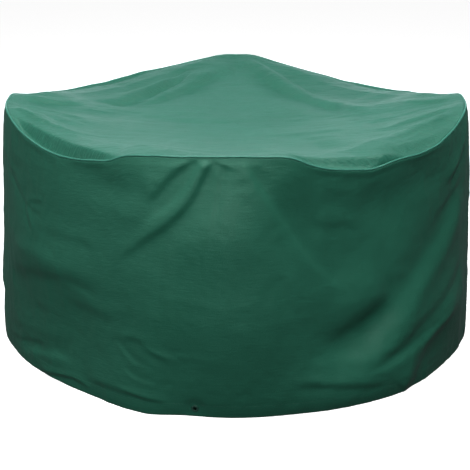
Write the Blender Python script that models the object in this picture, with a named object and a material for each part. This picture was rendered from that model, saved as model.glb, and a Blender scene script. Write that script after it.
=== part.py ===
"""Cover for a round garden table and four chairs, as it hangs over them.

A round top panel and a skirt of two panels meet at a piped rim seam. The rim stands high over the four chair
backs and sags between them. The skirt's lower edge is turned up into a hem that reaches the ground, with four
tie-down eyelets through it. Metres, +Z up, the front at -Y, the origin on the ground under the middle.
"""

import math

import bmesh
import bpy
from mathutils import Matrix, Vector

MM = 0.001

# Driving dimensions
RIM_RADIUS = 0.800          # rim over a chair back, to the middle of the piping
RIM_HEIGHT = 0.846          # middle of the piping over a chair back
RIM_PULL_IN = 0.035         # how far the rim comes inwards where it sags most
TOP_DISH = 0.085            # how far the middle of the top panel hangs under the chair backs
CLOTH = 1.2 * MM            # wall of the coated cloth, thicker than the real 0.3 mm
GAP = 0.3 * MM              # clearance between pieces that touch
HEM_HEIGHT = 50 * MM        # turned-up hem
HEM_SLIT = 0.6 * MM         # air between the two plies of the hem
ALLOWANCE = 10 * MM         # seam allowance turned inwards under the rim

PIPING_RADIUS = 3.5 * MM
PIPING_WALL = 0.8 * MM
PIPING_SLIT = 0.4 * MM      # between the two plies of the piping's tail
PIPING_TAIL = 13.5 * MM     # from the middle of the piping to the end of its tail
PIPING_CORD_RADIUS = 2.2 * MM
TAIL_DIRECTION = 225.0      # the tail points inwards and down, in degrees round the piping's own section
PIPING_OUTER_POINTS = 10
PIPING_INNER_POINTS = 9
PIPING_CORD_SIDES = 7

SEAM_ANGLES = {"right": 6.0, "left": 174.0}   # the skirt's two upright seams, just behind the sides
TAPE_WIDTH = 36 * MM
TAPE_THICKNESS = 0.6 * MM
TAPE_BELOW_RIM = 20 * MM
TAPE_ABOVE_HEM = 4 * MM
TAPE_SHARES = (0.0, 0.05, 0.12, 0.24, 0.49, 0.74, 1.0)    # cross-sections of the tape, from its top down

EYELET_ANGLES = {"front": -99.0, "right": -9.0, "back": 81.0, "left": 171.0}
EYELET_HEIGHT = 28 * MM
EYELET_BORE_RADIUS = 6.0 * MM
EYELET_BARREL_RADIUS = 6.9 * MM
EYELET_FLANGE_RADIUS = 12.0 * MM
EYELET_FLANGE_THICKNESS = 1.2 * MM
EYELET_FLANGE_BEVEL = (1.2 * MM, 0.6 * MM)    # inwards and down, round the flange's outer edge
EYELET_MOUTH_BEVEL = (1.0 * MM, 0.4 * MM)     # outwards and down, round the bore's front edge
EYELET_LIP_RADIUS = 8.4 * MM
EYELET_LIP_THICKNESS = 0.6 * MM
WASHER_RADIUS = 11.5 * MM
WASHER_SPACE = 0.8 * MM     # room for the washer between the cloth and the lip
WASHER_THICKNESS = 0.7 * MM
EYELET_SIDES = 16
HOLE_CUTTER_LENGTH = 30 * MM

STEP = 6.0                  # degrees from one cross-section to the next
FULL_TURN = 360.0

# Where the rim sags between two chair backs, in degrees: start, lowest point, end, and how far it sags there
RIM_SAGS = (
    (-166.0, -137.0, -112.0, 0.066),
    (-76.0, -54.0, -11.0, 0.080),
    (8.0, 46.0, 84.0, 0.077),
    (96.0, 140.0, 172.0, 0.066),
)
SAG_ROUNDNESS = 0.8         # under 1 makes a sag flatter at the bottom than a sine arch

# The top panel, by shares of the way from its centre to the rim
DISH_SQUARENESS = 1.3       # 1 dishes the top inside a square from chair to chair, and 2 inside a circle
SLOPE_START = 0.45          # from here out the top begins to follow the rim's sag
EDGE_START = 0.93           # from here out it drops steeply
EDGE_DROP = 0.65            # how much of the sag is in that steep edge
TOP_SHARES = (0.12, 0.27, 0.42, 0.57, 0.70, 0.82, 0.91, 0.94, 0.955, 0.97, 0.985)

# The skirt, by shares of the way from the rim to the ground
FLARE = 0.45                # how much of the way out to the hem the skirt goes just under the rim
FLARE_DEPTH = 0.10
SKIRT_SHARES = (0.02, 0.06, 0.13, 0.25, 0.50, 0.75)

# The hem on the ground is a soft polygon, with its corners where cloth gathers: (degrees, radius)
HEM_OUTLINE = (
    (-180.0, 0.838), (-163.0, 0.815), (-146.0, 0.799), (-129.0, 0.803), (-110.0, 0.848), (-100.0, 0.826),
    (-90.0, 0.832), (-64.0, 0.833), (-47.0, 0.829), (-20.0, 0.808), (0.0, 0.838), (24.0, 0.812),
    (45.0, 0.828), (68.0, 0.812), (90.0, 0.832), (112.0, 0.812), (135.0, 0.828), (158.0, 0.812),
)

SHARP_EDGE = math.radians(40.0)

GREEN = (0.020, 0.105, 0.070)
LIGHT_GREEN = (0.045, 0.180, 0.130)
DARK_GREEN = (0.010, 0.045, 0.030)
CORD_WHITE = (0.60, 0.60, 0.58)


def clear_scene():
    for obj in list(bpy.data.objects):
        bpy.data.objects.remove(obj, do_unlink=True)


def make_material(name, colour, roughness, metallic=0.0):
    material = bpy.data.materials.new(name)
    material.use_nodes = True
    shader = material.node_tree.nodes["Principled BSDF"]
    shader.inputs["Base Color"].default_value = (*colour, 1.0)
    shader.inputs["Roughness"].default_value = roughness
    shader.inputs["Metallic"].default_value = metallic
    return material


# The draped shape -----------------------------------------------------------------------------------------

def smoothstep(low, high, value):
    t = min(max((value - low) / (high - low), 0.0), 1.0)
    return t * t * (3.0 - 2.0 * t)


def wrapped(angle, start):
    """The same direction as angle, between start and start + 360."""
    return start + (angle - start) % FULL_TURN


def rim_sag(angle):
    """How far the rim hangs under the chair backs in this direction."""
    for start, lowest, end, depth in RIM_SAGS:
        at = wrapped(angle, start)
        if at >= end:
            continue
        if at < lowest:
            share = 0.5 * (at - start) / (lowest - start)
        else:
            share = 0.5 + 0.5 * (at - lowest) / (end - lowest)
        return depth * math.sin(math.pi * share) ** SAG_ROUNDNESS
    return 0.0


def rim(angle):
    """(radius, height) of the middle of the piping."""
    sag = rim_sag(angle)
    deepest = max(depth for *_, depth in RIM_SAGS)
    return RIM_RADIUS - RIM_PULL_IN * sag / deepest, RIM_HEIGHT - sag


def hem_radius(angle):
    """The hem's outside on the ground: a smooth closed curve through HEM_OUTLINE."""
    count = len(HEM_OUTLINE)
    at = wrapped(angle, HEM_OUTLINE[0][0])
    after = next((i for i, (corner, _) in enumerate(HEM_OUTLINE) if corner > at), count)
    corners = []
    for i in range(after - 2, after + 2):
        corner, radius = HEM_OUTLINE[i % count]
        corners.append((corner + FULL_TURN * (i // count), radius))
    (a0, r0), (a1, r1), (a2, r2), (a3, r3) = corners
    t = (at - a1) / (a2 - a1)
    slope1 = (r2 - r0) / (a2 - a0) * (a2 - a1)
    slope2 = (r3 - r1) / (a3 - a1) * (a2 - a1)
    return (
        (2 * t**3 - 3 * t**2 + 1) * r1
        + (t**3 - 2 * t**2 + t) * slope1
        + (3 * t**2 - 2 * t**3) * r2
        + (t**3 - t**2) * slope2
    )


def skirt_radius(angle, height):
    """The skirt's outside: it leaves the rim quickly, then falls almost straight to the hem."""
    radius, top = rim(angle)
    radius -= PIPING_SEAT[0]
    down = min(max((top - height) / top, 0.0), 1.0)
    reach = FLARE * (1.0 - math.exp(-down / FLARE_DEPTH)) + (1.0 - FLARE) * down
    return radius + (hem_radius(angle) - radius) * reach


def top_height(angle, share):
    """The top panel's middle surface, at this share of the way from the centre to the rim.

    It is dished inside the straight lines from chair to chair. Outside them it follows the sagging rim, and
    most of that drop is in a steep band at the edge.
    """
    turn = math.radians(angle)
    sides = abs(math.cos(turn)) ** DISH_SQUARENESS + abs(math.sin(turn)) ** DISH_SQUARENESS
    outwards = share * sides ** (1.0 / DISH_SQUARENESS)
    dish = TOP_DISH * max(1.0 - outwards * outwards, 0.0)
    slope = smoothstep(SLOPE_START, 1.0, share)
    edge = smoothstep(EDGE_START, 1.0, share)
    drop = (1.0 - EDGE_DROP) * slope + EDGE_DROP * edge
    return RIM_HEIGHT - PIPING_SEAT[1] - dish - rim_sag(angle) * drop


# Round the rim seam, measured from the middle of the piping: both panels bend on the piping and their
# allowances lie on the two sides of its tail, which points inwards and down.

INWARD_DOWN = Vector((-1.0, -1.0)).normalized()
TAIL_TOP_SIDE = Vector((-1.0, 1.0)).normalized()
UP = Vector((0.0, 1.0))


def allowance_bend():
    """Where the top panel bends: touching the piping, and lying on its tail."""
    off_tail = PIPING_WALL + PIPING_SLIT / 2 + GAP + CLOTH / 2
    reach = PIPING_RADIUS + GAP + CLOTH / 2
    along = math.sqrt(reach**2 - off_tail**2)
    return INWARD_DOWN * along + TAIL_TOP_SIDE * off_tail


TOP_BEND = allowance_bend()
SKIRT_BEND = Vector((TOP_BEND.y, TOP_BEND.x))
PIPING_SEAT = (-SKIRT_BEND.x - CLOTH / 2, -TOP_BEND.y)


def bent_allowance(bend):
    """(outside, inside) of a panel's edge from its bend to the end of its allowance, for the top panel."""
    half = CLOTH / 2
    to_tail = -TAIL_TOP_SIDE
    outward = (UP + to_tail).normalized()
    end = bend + INWARD_DOWN * ALLOWANCE
    mitre = half / math.cos(UP.angle(to_tail) / 2)
    outside = [bend + UP * half, bend + outward * half, bend + to_tail * half, end + to_tail * half]
    inside = [bend - outward * mitre, end - to_tail * half]
    return outside, inside


def swapped(points):
    """The same edge for the skirt, which meets the tail from the other side."""
    return [Vector((p.y, p.x)) for p in points]


# Solids ---------------------------------------------------------------------------------------------------

def place(angle, radius, height):
    turn = math.radians(angle)
    return Vector((radius * math.cos(turn), radius * math.sin(turn), height))


def object_from(bm, name, material):
    bmesh.ops.recalc_face_normals(bm, faces=bm.faces)
    mesh = bpy.data.meshes.new(name)
    bm.to_mesh(mesh)
    bm.free()
    obj = bpy.data.objects.new(name, mesh)
    bpy.context.scene.collection.objects.link(obj)
    mesh.materials.append(material)
    mesh.shade_smooth()
    mesh.set_sharp_from_angle(angle=SHARP_EDGE)
    return obj


def swept_solid(name, material, angles, section, ring):
    """A solid whose cross-section, section(angle), is a closed outline of (radius, height) points."""
    bm = bmesh.new()
    rows = [[bm.verts.new(place(angle, *point)) for point in section(angle)] for angle in angles]
    neighbours = list(zip(rows, rows[1:]))
    if ring:
        neighbours.append((rows[-1], rows[0]))
    for row, following in neighbours:
        for i in range(len(row)):
            j = (i + 1) % len(row)
            bm.faces.new((row[i], row[j], following[j], following[i]))
    if not ring:
        bm.faces.new(rows[0])
        bm.faces.new(rows[-1])
    return object_from(bm, name, material)


def ring_angles():
    return [STEP * i for i in range(round(FULL_TURN / STEP))]


def panel_angles(start, end):
    """Cross-sections from seam to seam, each end drawn back by half a gap."""
    back = math.degrees(GAP / RIM_RADIUS)
    inner = [start + STEP * i for i in range(1, round((end - start) / STEP))]
    return [start + back, *inner, end - back]


# Parts ----------------------------------------------------------------------------------------------------

def top_section(angle):
    """From the centre out along the upper side, round the allowance, and back along the underside."""
    radius, height = rim(angle)
    edge = Vector((radius, height))
    outside, inside = bent_allowance(TOP_BEND)
    upper = [(radius * share, top_height(angle, share) + CLOTH / 2) for share in TOP_SHARES]
    lower = [(radius * share, top_height(angle, share) - CLOTH / 2) for share in reversed(TOP_SHARES)]
    bent = [tuple(edge + point) for point in outside + inside[::-1]]
    middle = top_height(angle, 0.0)
    return [(0.0, middle + CLOTH / 2), *upper, *bent, *lower, (0.0, middle - CLOTH / 2)]


def make_top_panel(material):
    """One disc of cloth. Its upper and lower sides each close at a point in the middle."""
    bm = bmesh.new()
    rows = [[bm.verts.new(place(angle, *point)) for point in top_section(angle)] for angle in ring_angles()]
    for row, following in zip(rows, rows[1:] + rows[:1]):
        for i in range(len(row) - 1):
            bm.faces.new((row[i], row[i + 1], following[i + 1], following[i]))
    bmesh.ops.remove_doubles(bm, verts=bm.verts, dist=0.01 * MM)
    return object_from(bm, "top_panel", material)


def skirt_section(angle):
    """Down the outside, round the turned-up hem, and back up the inside to the allowance."""
    radius, height = rim(angle)
    edge = Vector((radius, height))
    outside, inside = bent_allowance(TOP_BEND)
    outside, inside = swapped(outside), swapped(inside)
    levels = [height * (1.0 - share) for share in SKIRT_SHARES]
    foot = skirt_radius(angle, 0.0)
    shoulder = skirt_radius(angle, HEM_HEIGHT)
    turned = CLOTH + HEM_SLIT
    hem = [
        (shoulder, HEM_HEIGHT),
        (foot, 0.0),
        (foot - turned - CLOTH, 0.0),
        (shoulder - turned - CLOTH, HEM_HEIGHT),
        (shoulder - turned, HEM_HEIGHT),
        (foot - turned, CLOTH),
        (foot - CLOTH, CLOTH),
        (shoulder - CLOTH, HEM_HEIGHT),
    ]
    down = [(skirt_radius(angle, level), level) for level in levels]
    up = [(skirt_radius(angle, level) - CLOTH, level) for level in reversed(levels)]
    top_end = [tuple(edge + point) for point in inside + outside[::-1]]
    return [*down, *hem, *up, *top_end]


def make_skirt_panel(name, material, start, end):
    return swept_solid(name, material, panel_angles(start, end), skirt_section, ring=False)


def arc_points(radius, start, end, count):
    """Points of the piping's own round section, from start to end in degrees."""
    angles = [math.radians(start + (end - start) * i / (count - 1)) for i in range(count)]
    return [Vector((radius * math.cos(a), radius * math.sin(a))) for a in angles]


def piping_cover_outline():
    """A strip folded round the cord, with its two plies lying together as a tail."""
    outer_half = PIPING_WALL + PIPING_SLIT / 2
    inner_radius = PIPING_RADIUS - PIPING_WALL
    outer_turn = math.degrees(math.asin(outer_half / PIPING_RADIUS))
    inner_turn = math.degrees(math.asin(PIPING_SLIT / 2 / inner_radius))
    end = TAIL_DIRECTION
    start = end - FULL_TURN
    tail = INWARD_DOWN * PIPING_TAIL
    return [
        tail - TAIL_TOP_SIDE * outer_half,
        *arc_points(PIPING_RADIUS, start + outer_turn, end - outer_turn, PIPING_OUTER_POINTS),
        tail + TAIL_TOP_SIDE * outer_half,
        tail + TAIL_TOP_SIDE * (PIPING_SLIT / 2),
        *arc_points(inner_radius, end - inner_turn, start + inner_turn, PIPING_INNER_POINTS),
        tail - TAIL_TOP_SIDE * (PIPING_SLIT / 2),
    ]


def cord_outline():
    last = FULL_TURN * (PIPING_CORD_SIDES - 1) / PIPING_CORD_SIDES
    return arc_points(PIPING_CORD_RADIUS, 0.0, last, PIPING_CORD_SIDES)


def make_rim_ring(name, material, outline):
    """A section carried once round the rim."""

    def section(angle):
        middle = Vector(rim(angle))
        return [tuple(middle + point) for point in outline]

    return swept_solid(name, material, ring_angles(), section, ring=True)


def skirt_inside(angle, height):
    """A point on the skirt's inner side, on the flat strip between two neighbouring cross-sections."""
    before = math.floor(angle / STEP) * STEP
    share = (angle - before) / STEP
    ends = [place(a, skirt_radius(a, height) - CLOTH, height) for a in (before, before + STEP)]
    return ends[0].lerp(ends[1], share)


def make_seam_tape(name, material, angle):
    """A strip bonded over the inside of an upright seam, from under the rim to just above the hem."""
    half_turn = math.degrees(TAPE_WIDTH / 2 / RIM_RADIUS)
    top = rim(angle)[1] - TAPE_BELOW_RIM
    bottom = HEM_HEIGHT + TAPE_ABOVE_HEM
    levels = [top + (bottom - top) * share for share in TAPE_SHARES]
    columns = (angle - half_turn, angle, angle + half_turn)
    inward = -place(angle, 1.0, 0.0)
    clear = GAP + CLOTH / 2
    bm = bmesh.new()
    skins = []
    for depth in (clear, clear + TAPE_THICKNESS):
        skins.append([[bm.verts.new(skirt_inside(a, z) + inward * depth) for a in columns] for z in levels])
    for skin in skins:
        for row, below in zip(skin, skin[1:]):
            for i in range(len(columns) - 1):
                bm.faces.new((row[i], row[i + 1], below[i + 1], below[i]))
    border = [e for e in bm.edges if e.is_boundary]
    bmesh.ops.bridge_loops(bm, edges=border)
    return object_from(bm, name, material)


def eyelet_frame(angle):
    """A frame on the hem's outside at an eyelet: its Z points out of the cloth."""
    half = STEP / 2
    corners = [place(a, skirt_radius(a, z), z) for a in (angle - half, angle + half) for z in (0.0, HEM_HEIGHT)]
    low_left, high_left, low_right, high_right = corners
    across = (low_right + high_right - low_left - high_left).normalized()
    out = across.cross(high_left + high_right - low_left - low_right).normalized()
    up = out.cross(across)
    share = EYELET_HEIGHT / HEM_HEIGHT
    centre = low_left.lerp(high_left, share).lerp(low_right.lerp(high_right, share), 0.5)
    turned = Matrix((across, up, out)).transposed().to_4x4()
    return Matrix.Translation(centre) @ turned


def turned_piece(name, material, profile, frame):
    """A ring turned from a closed profile of (radius, out) points, set on the hem."""
    bm = bmesh.new()
    rows = []
    for i in range(EYELET_SIDES):
        turn = math.tau * i / EYELET_SIDES
        rows.append([bm.verts.new((r * math.cos(turn), r * math.sin(turn), out)) for r, out in profile])
    for row, following in zip(rows, rows[1:] + rows[:1]):
        for i in range(len(row)):
            j = (i + 1) % len(row)
            bm.faces.new((row[i], row[j], following[j], following[i]))
    obj = object_from(bm, name, material)
    obj.matrix_world = frame
    return obj


HEM_DEPTH = 2 * CLOTH + HEM_SLIT
EYELET_GAP = 0.5 * MM       # the hem is a little curved, so eyelets stand off it by more than other pieces


def eyelet_profile():
    """Flange outside, barrel through both plies, and a lip rolled over the washer."""
    face = EYELET_GAP + EYELET_FLANGE_THICKNESS
    edge_in, edge_down = EYELET_FLANGE_BEVEL
    mouth_out, mouth_down = EYELET_MOUTH_BEVEL
    lip = -HEM_DEPTH - 2 * EYELET_GAP - WASHER_SPACE
    end = lip - EYELET_LIP_THICKNESS
    return [
        (EYELET_BORE_RADIUS, face - mouth_down),
        (EYELET_BORE_RADIUS + mouth_out, face),
        (EYELET_FLANGE_RADIUS - edge_in, face),
        (EYELET_FLANGE_RADIUS, face - edge_down),
        (EYELET_FLANGE_RADIUS, EYELET_GAP),
        (EYELET_BARREL_RADIUS, EYELET_GAP),
        (EYELET_BARREL_RADIUS, lip),
        (EYELET_LIP_RADIUS, lip),
        (EYELET_LIP_RADIUS, end),
        (EYELET_BORE_RADIUS, end),
    ]


def washer_profile():
    front = -HEM_DEPTH - EYELET_GAP
    back = front - WASHER_THICKNESS
    bore = EYELET_BARREL_RADIUS + GAP
    return [(bore, front), (WASHER_RADIUS, front), (WASHER_RADIUS, back), (bore, back)]


def punch_hole(panel, side, frame):
    """An eyelet's hole through both plies of the hem."""
    radius = EYELET_BARREL_RADIUS + 2 * GAP
    bpy.ops.mesh.primitive_cylinder_add(vertices=EYELET_SIDES, radius=radius, depth=HOLE_CUTTER_LENGTH)
    cutter = bpy.context.object
    cutter.name = f"hole_cutter_{side}"
    cutter.matrix_world = frame
    cutter.hide_render = True
    cutter.display_type = "WIRE"
    cut = panel.modifiers.new(f"hole_{side}", "BOOLEAN")
    cut.operation = "DIFFERENCE"
    cut.object = cutter


def build():
    clear_scene()
    right, left = SEAM_ANGLES["right"], SEAM_ANGLES["left"]
    make_top_panel(make_material("top_cloth", LIGHT_GREEN, 0.45))
    front_cloth = make_material("skirt_front_cloth", GREEN, 0.55)
    back_cloth = make_material("skirt_back_cloth", GREEN, 0.55)
    front = make_skirt_panel("skirt_front", front_cloth, left, FULL_TURN + right)
    back = make_skirt_panel("skirt_back", back_cloth, right, left)
    make_rim_ring("rim_piping", make_material("piping_cloth", LIGHT_GREEN, 0.5), piping_cover_outline())
    make_rim_ring("piping_cord", make_material("cord_plastic", CORD_WHITE, 0.5), cord_outline())
    for side, angle in SEAM_ANGLES.items():
        make_seam_tape(f"seam_tape_{side}", make_material(f"tape_{side}", DARK_GREEN, 0.4), angle)
    skirt_of = {"front": front, "right": front, "back": back, "left": back}
    for side, angle in EYELET_ANGLES.items():
        frame = eyelet_frame(angle)
        plastic = make_material(f"eyelet_plastic_{side}", DARK_GREEN, 0.35)
        punch_hole(skirt_of[side], side, frame)
        turned_piece(f"eyelet_{side}", plastic, eyelet_profile(), frame)
        turned_piece(f"eyelet_washer_{side}", plastic, washer_profile(), frame)


build()
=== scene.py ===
"""Looks for a round cover that hangs over a garden table and four chairs.

Every sheet is set out from the frame's own rim line and hem line. Broad drape, folds and crumples are then
worked into its mesh. Metres, +Z up, the front at -Y. Angles are in degrees round +Z, with 0 at +X.
"""

import math

import bpy
import numpy as np
from mathutils import Matrix, Vector


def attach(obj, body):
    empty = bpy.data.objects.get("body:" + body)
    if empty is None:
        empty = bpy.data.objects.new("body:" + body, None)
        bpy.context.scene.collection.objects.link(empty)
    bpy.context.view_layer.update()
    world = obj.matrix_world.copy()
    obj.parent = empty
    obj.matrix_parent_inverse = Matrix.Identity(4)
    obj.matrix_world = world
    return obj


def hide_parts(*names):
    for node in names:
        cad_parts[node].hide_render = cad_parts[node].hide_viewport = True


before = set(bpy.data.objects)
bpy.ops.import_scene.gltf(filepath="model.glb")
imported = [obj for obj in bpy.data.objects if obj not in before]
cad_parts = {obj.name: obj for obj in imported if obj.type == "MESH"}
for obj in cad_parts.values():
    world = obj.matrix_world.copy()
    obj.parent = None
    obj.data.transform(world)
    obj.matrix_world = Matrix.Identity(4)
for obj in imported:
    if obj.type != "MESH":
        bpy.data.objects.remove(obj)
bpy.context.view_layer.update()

MM = 0.001
FULL_TURN = 360.0
BODY = "root"
CLOTH = 0.8 * MM              # the sheets' wall
PIPING_RADIUS = 3.5 * MM
PIPING_WALL = 0.6 * MM
PIPING_TAIL = 13.5 * MM       # from the middle of the piping to the end of its tail, inwards and down
PIPING_TAIL_PLY = 0.45 * MM   # each ply of the tail, pressed thinner than round the cord
PIPING_SLIT = 0.1 * MM        # between the tail's two plies
CORD_RADIUS = 2.3 * MM
ALLOWANCE = 10 * MM           # seam allowance, lying along the piping's tail
BEND_NEAR = 2.1 * MM          # where a panel turns into its allowance, from the middle of the piping:
BEND_FAR = 3.1 * MM           # the skirt this far in and this far down, the top panel the other way round
TOP_SEAT = 1.0 * MM           # the top panel's outside meets the piping this far above its middle
HEM_HEIGHT = 50 * MM
HEM_FOLD_RADIUS = 1.1 * MM
HEM_DEPTH = 2 * HEM_FOLD_RADIUS    # the hem's two plies and the air between them
SEAMS = {"right": 6.0, "left": 174.0}
SEAM_HALF_GAP = 0.15 * MM     # from an upright seam to the edge of each panel
TAPE_WIDTH = 36 * MM
TAPE_WALL = 0.3 * MM
TAPE_GAP = 0.2 * MM           # from the cloth's inside to the tape
EYELETS = {"front": -99.0, "right": -9.0, "back": 81.0, "left": 171.0}
EYELET_HEIGHT = 28 * MM
HOLE_RADIUS = 7.2 * MM
FLAT_ROUND_EYELET = (14 * MM, 45 * MM)    # flat up to the first, draped as elsewhere past the second
STITCH = 3.6 * MM             # from one stitch to the next
STITCH_FILL = 0.86            # the share of it that the thread covers
THREAD_RADIUS = 0.28 * MM
ROUND_RADIUS = 0.815          # turns an angle on the skirt into a length along it
CUT_RADIUS = 0.825            # of the top panel's disc, before it is sewn


# The rim and the hem, as the frame has them --------------------------------------------------------------

def node_points(name):
    """A CAD node's vertices, each one once."""
    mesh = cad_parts[name].data
    points = np.empty(len(mesh.vertices) * 3)
    mesh.vertices.foreach_get("co", points)
    return np.unique(np.round(points.reshape(-1, 3), 5), axis=0)


def off_by(angle, centre):
    """Degrees from centre, from -180 to 180."""
    return (np.asarray(angle, float) - centre + 180.0) % FULL_TURN - 180.0


def turn_of(points):
    return np.degrees(np.arctan2(points[:, 1], points[:, 0]))


def between(a, b, c, d, t):
    """A smooth curve's value at share t of the way from b to c, where a comes before b and d after c."""
    return b + 0.5 * t * (c - a + t * (2 * a - 5 * b + 4 * c - d + t * (3 * (b - c) + d - a)))


def closed_curve(values):
    """A smooth closed curve through values at even steps of angle from 0."""
    count = len(values)

    def at(angle):
        place = np.asarray(angle, float) % FULL_TURN * count / FULL_TURN
        first = np.floor(place).astype(int)
        t = place - first
        a, b, c, d = (values[(first + k) % count] for k in (-1, 0, 1, 2))
        return between(a, b, c, d, t)

    return at


STATION = 6.0                 # the frame's cross-sections are this far apart
STATIONS = np.arange(0.0, FULL_TURN, STATION)


def rim_line():
    """The middle of the piping's cord: (radius, height) curves."""
    points = node_points("piping_cord")
    section = np.round(turn_of(points) / STATION).astype(int) % len(STATIONS)
    middles = np.array([points[section == i].mean(axis=0) for i in range(len(STATIONS))])
    return closed_curve(np.hypot(middles[:, 0], middles[:, 1])), closed_curve(middles[:, 2])


def hem_line():
    """The outside of the hem on the ground, as a radius curve."""
    points = np.concatenate([node_points("skirt_front"), node_points("skirt_back")])
    points = points[points[:, 2] < 0.1 * MM]
    radius = np.hypot(points[:, 0], points[:, 1])
    near = [np.abs(off_by(turn_of(points), at)) < 1.0 for at in STATIONS]
    return closed_curve(np.array([radius[here].max() for here in near]))


cad_rim_radius, cad_rim_height = rim_line()
cad_hem_radius = hem_line()
RIM_TOP = float(cad_rim_height(STATIONS).max())


# Drape ---------------------------------------------------------------------------------------------------

def smoothstep(low, high, value):
    t = np.clip((value - low) / (high - low), 0.0, 1.0)
    return t * t * (3.0 - 2.0 * t)


def bump(value, centre, width):
    return np.exp(-(((value - centre) / width) ** 2))


def bump_round(angle, centre, width):
    """The same for angles round the cover."""
    return bump(off_by(angle, centre), 0.0, width)


# Small rises and drops of the rim between the frame's own steps: (angle, half width in degrees, height)
RIM_DETAILS = (
    (-72.0, 7.0, -0.012), (-90.0, 8.0, 0.003), (83.0, 3.5, -0.006), (97.0, 3.5, -0.006),
    (-47.0, 6.0, 0.010), (-56.0, 3.0, -0.003), (-121.0, 2.5, -0.004), (-116.0, 3.0, 0.003),
    (-108.0, 6.0, -0.004), (-31.0, 4.0, -0.003), (-150.0, 4.0, 0.002), (33.0, 3.5, 0.003),
    (57.0, 3.0, -0.003), (118.0, 4.0, 0.004), (131.0, 3.0, -0.003), (152.0, 4.0, 0.003),
)


class Lattice:
    """Smooth random values through space, the same on every run."""

    def __init__(self, seed, size=24):
        self.size = size
        self.values = np.random.default_rng(seed).uniform(-1.0, 1.0, (size, size, size))

    def at(self, points, length):
        """Between -1 and 1, changing over this length. points is (n, 3)."""
        place = points / length
        first = np.floor(place).astype(int)
        t = place - first
        t = t * t * t * (t * (6.0 * t - 15.0) + 10.0)
        total = np.zeros(len(points))
        for corner in np.ndindex(2, 2, 2):
            corner = np.array(corner)
            weight = np.where(corner, t, 1.0 - t).prod(axis=1)
            i, j, k = ((first + corner) % self.size).T
            total += weight * self.values[i, j, k]
        return total


def on_circle(angle, radius, height):
    turn = np.radians(angle)
    return np.stack([radius * np.cos(turn), radius * np.sin(turn), height + 0.0 * turn], axis=-1)


def seam_ripples(angle, seed):
    """Uneven puckers along a row of stitches that runs round the cover."""
    line = on_circle(np.ravel(angle), ROUND_RADIUS, 0.0)
    return 0.6 * Lattice(seed).at(line, 0.021) + 0.4 * Lattice(seed + 1).at(line, 0.047)


def rim_height(angle):
    details = sum(rise * bump_round(angle, at, wide) for at, wide, rise in RIM_DETAILS)
    return cad_rim_height(angle) + details + 0.5 * MM * seam_ripples(angle, 103)


def rim_radius(angle):
    return cad_rim_radius(angle) + 0.5 * MM * seam_ripples(angle, 101)


# The same for how far out the hem lies: (angle, half width in degrees, outwards)
HEM_DETAILS = (
    (-34.0, 7.0, -0.007), (-47.0, 3.0, 0.004), (-18.0, 4.0, 0.005), (-109.5, 2.0, 0.003), (-97.0, 6.0, 0.003),
    (-143.0, 4.0, 0.003),
)


def hem_radius(angle):
    details = sum(out * bump_round(angle, at, wide) for at, wide, out in HEM_DETAILS)
    return cad_hem_radius(angle) + details


def crumple(points, seed, length, sharp):
    """Creased cloth: soft swells, folded over where they cross zero so that crests stay sharp."""
    swells = Lattice(seed)
    warp = np.stack([Lattice(seed + k).at(points, 2.1 * length) for k in (1, 2, 3)], axis=1)
    bent = points + 0.45 * length * warp
    soft = swells.at(bent, length)
    return (1.0 - sharp) * soft + sharp * (0.5 - 2.0 * np.abs(Lattice(seed + 4).at(bent, length)))


FOLD_STEPS = 6                # from one corner of a fold's route to the next


class Fold:
    """A line along which the cloth turns in or out, on the flat cloth.

    Looking along the route, the cloth on its left stands out and the cloth on its right lies back, by drop
    in all, or the other way round where drop is negative. The turn itself is width wide, and the cloth comes
    back to where it was over the distances left and right. fade is the share of the route over which each
    end dies out.
    """

    def __init__(self, route, drop, width, left, right, fade=(0.25, 0.25)):
        self.route = self.smooth(np.array(route, float))
        self.drop = drop
        self.width = width
        self.left = left
        self.right = right
        self.fade = fade

    @staticmethod
    def smooth(route):
        padded = np.vstack([2 * route[0] - route[1], route, 2 * route[-1] - route[-2]])
        t = np.linspace(0.0, 1.0, FOLD_STEPS, endpoint=False)[:, None]
        pieces = [between(*corners, t) for corners in zip(padded, padded[1:], padded[2:], padded[3:])]
        return np.vstack([*pieces, route[-1:]])

    def add_to(self, flat, relief):
        """flat is (n, 2), on the cloth. Adds this fold to relief where it reaches."""
        reach = 2.4 * max(self.left, self.right)
        low = self.route.min(axis=0) - reach
        high = self.route.max(axis=0) + reach
        near = np.flatnonzero(((flat > low) & (flat < high)).all(axis=1))
        if not len(near):
            return
        start = self.route[:-1]
        along = np.diff(self.route, axis=0)
        length = np.hypot(*along.T)
        done = np.concatenate([[0.0], np.cumsum(length)[:-1]]) / length.sum()
        offset = flat[near, None, :] - start
        t = np.clip((offset * along).sum(axis=2) / length**2, 0.0, 1.0)
        apart = offset - t[..., None] * along
        distance = np.hypot(apart[..., 0], apart[..., 1])
        best = distance.argmin(axis=1)
        pick = (np.arange(len(near)), best)
        share = (done + t * length / length.sum())[pick]
        side = along[best, 0] * offset[pick][:, 1] - along[best, 1] * offset[pick][:, 0]
        off = np.where(side > 0.0, distance[pick], -distance[pick])
        back = np.where(side > 0.0, self.left, self.right)
        turn = np.tanh(off / self.width) * np.exp(-((off / back) ** 2))
        fade = smoothstep(0.0, self.fade[0], share) * (1.0 - smoothstep(1.0 - self.fade[1], 1.0, share))
        relief[near] += 0.5 * self.drop * fade * turn


# Skirt ---------------------------------------------------------------------------------------------------

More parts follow.
